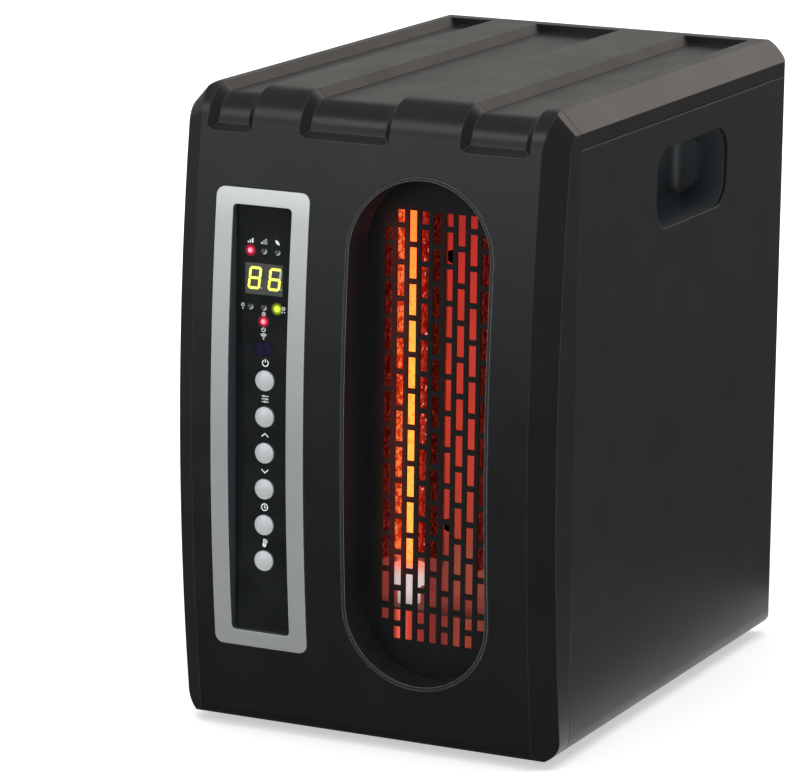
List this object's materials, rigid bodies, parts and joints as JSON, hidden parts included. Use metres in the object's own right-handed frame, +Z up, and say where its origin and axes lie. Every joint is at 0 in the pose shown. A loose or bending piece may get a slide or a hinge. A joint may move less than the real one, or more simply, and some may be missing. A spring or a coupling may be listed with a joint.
{
  "type": "infrared cabinet heater",
  "caption": "Compact cabinet heater with a bowed black front, a slotted stadium outlet over upright quartz tubes, a silver-trimmed button panel and side carry recesses.",
  "frame": {"origin": "under the middle of the whole heater, on the plane that its feet stand on", "axes": "+Z up, +X to the heater's right as seen from the front, -Y out of the front bezel"},
  "size_m": [0.25, 0.3698, 0.395],
  "materials": {
    "cabinet": "fine-textured satin black",
    "cover": "satin charcoal",
    "bezel": "satin black moulding",
    "shroud": "matt black",
    "grille": "matt black enamel",
    "trim": "satin silver",
    "fascia": "gloss black",
    "board": "green circuit board",
    "display": "smoked display",
    "lamp": "clear lamp lenses",
    "receiver": "dark violet filter",
    "component": "black component plastic",
    "button": "pearl silver",
    "sheet": "bare sheet metal",
    "reflector": "hammered bright aluminium",
    "quartz": "clear quartz",
    "element": "glowing resistance wire",
    "ceramic": "fired ceramic",
    "standoff": "natural nylon",
    "filter_frame": "satin black",
    "filter_foam": "grey filter foam",
    "switch": "gloss black",
    "gland": "black",
    "foot": "black",
    "fastener": "zinc plated"
  },
  "bodies": {
    "housing": {"top_cover": "cover", "left_side_panel": "cabinet", "right_side_panel": "cabinet", "base_plate": "cabinet", "rear_panel": "cover", "front_bezel": "bezel", "outlet_shroud": "shroud", "outlet_grille": "grille", "trim_frame": "trim", "control_fascia": "fascia", "control_tray": "shroud", "control_board": "board", "display_module": "display", "indicator_lamps": "lamp", "receiver_window": "receiver", "key_switches": "component", "left_handle_cup": "shroud", "right_handle_cup": "shroud", "heating_chamber": "sheet", "chamber_stand": "sheet", "left_reflector": "reflector", "right_reflector": "reflector", "left_quartz_tube": "quartz", "right_quartz_tube": "quartz", "left_heating_coil": "element", "right_heating_coil": "element", "ceramic_caps": "ceramic", "lower_tube_bracket": "sheet", "upper_tube_bracket": "sheet", "air_duct": "sheet", "fan_frame": "component", "fan_motor": "component", "thermal_cutout": "ceramic", "power_board": "board", "board_standoffs": "standoff", "tip_over_switch": "component", "switch_housing": "switch", "cord_inlet": "gland", "feet": "foot", "foot_screws": "fastener", "rear_screws": "fastener", "bezel_screws": "fastener"},
    "power_button": {"button_power": "button"},
    "mode_button": {"button_mode": "button"},
    "up_button": {"button_up": "button"},
    "down_button": {"button_down": "button"},
    "timer_button": {"button_timer": "button"},
    "units_button": {"button_units": "button"},
    "fan": {"fan_wheel": "component"},
    "rocker": {"power_rocker": "switch"},
    "filter": {"filter_cover": "filter_frame", "air_filter": "filter_foam"}
  },
  "joints": [
    {"name": "power_press", "type": "slide", "parent": "housing", "child": "power_button", "axis": [0, 1, 0], "range_m": [0, 0.0008], "stiffness_N_per_m": 800},
    {"name": "mode_press", "type": "slide", "parent": "housing", "child": "mode_button", "axis": [0, 1, 0], "range_m": [0, 0.0008], "stiffness_N_per_m": 800},
    {"name": "up_press", "type": "slide", "parent": "housing", "child": "up_button", "axis": [0, 1, 0], "range_m": [0, 0.0008], "stiffness_N_per_m": 800},
    {"name": "down_press", "type": "slide", "parent": "housing", "child": "down_button", "axis": [0, 1, 0], "range_m": [0, 0.0008], "stiffness_N_per_m": 800},
    {"name": "timer_press", "type": "slide", "parent": "housing", "child": "timer_button", "axis": [0, 1, 0], "range_m": [0, 0.0008], "stiffness_N_per_m": 800},
    {"name": "units_press", "type": "slide", "parent": "housing", "child": "units_button", "axis": [0, 1, 0], "range_m": [0, 0.0008], "stiffness_N_per_m": 800},
    {"name": "fan_spin", "type": "hinge", "parent": "housing", "child": "fan", "pos_m": [0.0373, -0.0346, 0.1972], "axis": [0, 1, 0], "continuous": true},
    {"name": "rocker_tilt", "type": "hinge", "parent": "housing", "child": "rocker", "pos_m": [0.066, 0.1783, 0.057], "axis": [1, 0, 0], "range_deg": [0, 16]},
    {"name": "filter_pull", "type": "slide", "parent": "housing", "child": "filter", "axis": [0, 1, 0], "range_m": [0, 0.03]}
  ]
}
